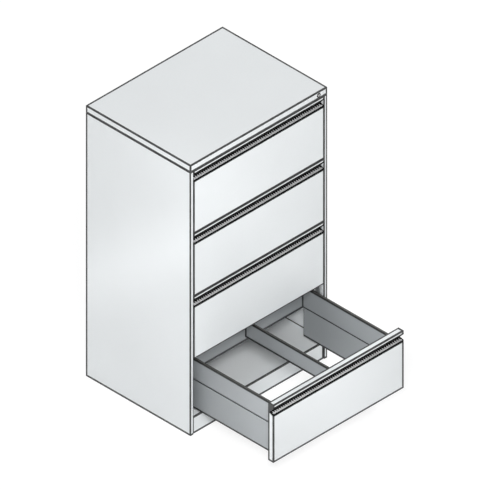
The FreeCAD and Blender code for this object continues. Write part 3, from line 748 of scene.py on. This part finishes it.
def make_world():
    """Even studio light, stronger from the walls than from the ceiling, and a white background."""
    world = bpy.data.worlds.new("studio")
    world.use_nodes = True
    tree = world.node_tree
    ambient = tree.nodes["Background"]
    ambient.inputs["Color"].default_value = (*STUDIO_WHITE, 1)
    height = parts_of(tree, "Generated")["Z"]
    strength = spread(tree, height, HORIZON_STRENGTH, ZENITH_STRENGTH, 0, 1)
    tree.links.new(strength, ambient.inputs["Strength"])
    white = add(tree, "Background", Color=(1, 1, 1, 1), Strength=1.0)
    mix = add(tree, "MixShader")
    tree.links.new(seen_directly(tree), mix.inputs[0])
    tree.links.new(ambient.outputs[0], mix.inputs[1])
    tree.links.new(white.outputs[0], mix.inputs[2])
    tree.links.new(mix.outputs[0], tree.nodes["World Output"].inputs["Surface"])
    bpy.context.scene.world = world


# Light

BOX_SIZE = 1.6
BOX_DISTANCE = 5.0
KEY_POWER = 176
BACK_POWER = 105

STRIP_WIDTH = 0.08
STRIP_BEAM = math.radians(70)
NARROW_BEAM = math.radians(40)
SIDE_STRIP_GAP = 0.36
FRONT_STRIP_GAP = 0.5
DRAWER_STRIP_BEHIND = 0.1

# Where each strip starts and ends: (y, z) beside the cabinet, (x, z) before the fronts, the heights of an
# upright one, and (x, y, z)
SIDE_STRIP_ENDS = ((-0.55, 1.16), (0.45, 0.36))
FRONT_STRIP_ENDS = ((-0.32, 1.33), (0.33, 0.42))
BOTTOM_STRIP_ENDS = ((-0.2, 0.5), (0.2, -0.05))
DRAWER_STRIP_ENDS = (0.15, 0.85)
INSIDE_STRIP_ENDS = ((-0.95, -1.25, 1.3), (-0.45, -1.55, 1.3))

SIDE_STRIP_POWER = 0.125
FRONT_STRIP_POWER = 0.06
BOTTOM_STRIP_POWER = 0.045
DRAWER_STRIP_POWER = 0.09
INSIDE_STRIP_POWER = 0.21

TO_RIGHT = (1, 0, 0)
TO_REAR = (0, 1, 0)
TO_RIGHT_AND_DOWN = (1, 0, -0.15)
INTO_DRAWER = (0.7, 1.05, -1.1)


def area_light(name, shape, size, power):
    """A lamp with a face, which neither the camera nor a reflection shows."""
    data = bpy.data.lights.new(name, "AREA")
    data.shape = shape
    data.size = size
    data.energy = power
    light = placed(name, data)
    light.visible_camera = False
    light.visible_glossy = False
    return light


def strip_light(name, ends, towards, power, beam=STRIP_BEAM):
    """A long soft box with a grid over it, between two ends, that faces towards a direction."""
    start, end = (Vector(point) for point in ends)
    along = end - start
    light = area_light(name, "RECTANGLE", along.length, power)
    light.data.size_y = STRIP_WIDTH
    light.data.spread = beam
    facing = -Vector(towards).normalized()
    length_way = (along - along.dot(facing) * facing).normalized()
    width_way = facing.cross(length_way)
    turn = Matrix((length_way, width_way, facing)).transposed()
    light.matrix_world = Matrix.Translation((start + end) / 2) @ turn.to_4x4()


def soft_box(name, turn, power):
    """A large round soft box that faces the cabinet's middle as the camera does, turned about Z."""
    light = area_light(name, "DISK", BOX_SIZE, power)
    facing = Quaternion((0, 0, 1), turn) @ bpy.context.scene.camera.rotation_quaternion
    light.rotation_mode = "QUATERNION"
    light.rotation_quaternion = facing
    middle = (Vector(cad_box[0]) + Vector(cad_box[1])) / 2
    light.location = middle + facing @ Vector((0, 0, BOX_DISTANCE))


def make_lights():
    """The key and a box behind, strips that lay a pale slanting band across the side, the closed fronts
    and the open one, and strips that light the open drawer's left wall and its inside."""
    soft_box("key", 0, KEY_POWER)
    soft_box("back_box", math.pi, BACK_POWER)
    side_x = -HALF_WIDTH - SIDE_STRIP_GAP
    side_ends = [(side_x, y, z) for y, z in SIDE_STRIP_ENDS]
    strip_light("side_strip", side_ends, TO_RIGHT, SIDE_STRIP_POWER)
    front_y = FRONT_Y - FRONT_STRIP_GAP
    front_ends = [(x, front_y, z) for x, z in FRONT_STRIP_ENDS]
    strip_light("front_strip", front_ends, TO_REAR, FRONT_STRIP_POWER)
    drawer_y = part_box("drawer_4_front")[0].y
    bottom_ends = [(x, drawer_y - FRONT_STRIP_GAP, z) for x, z in BOTTOM_STRIP_ENDS]
    strip_light("bottom_strip", bottom_ends, TO_REAR, BOTTOM_STRIP_POWER)
    drawer_ends = [(side_x, drawer_y + DRAWER_STRIP_BEHIND, z) for z in DRAWER_STRIP_ENDS]
    strip_light("drawer_strip", drawer_ends, TO_RIGHT_AND_DOWN, DRAWER_STRIP_POWER)
    strip_light("inside_strip", INSIDE_STRIP_ENDS, INTO_DRAWER, INSIDE_STRIP_POWER, NARROW_BEAM)


make_floor()
make_world()
make_lights()
bpy.context.scene.view_settings.view_transform = "Standard"
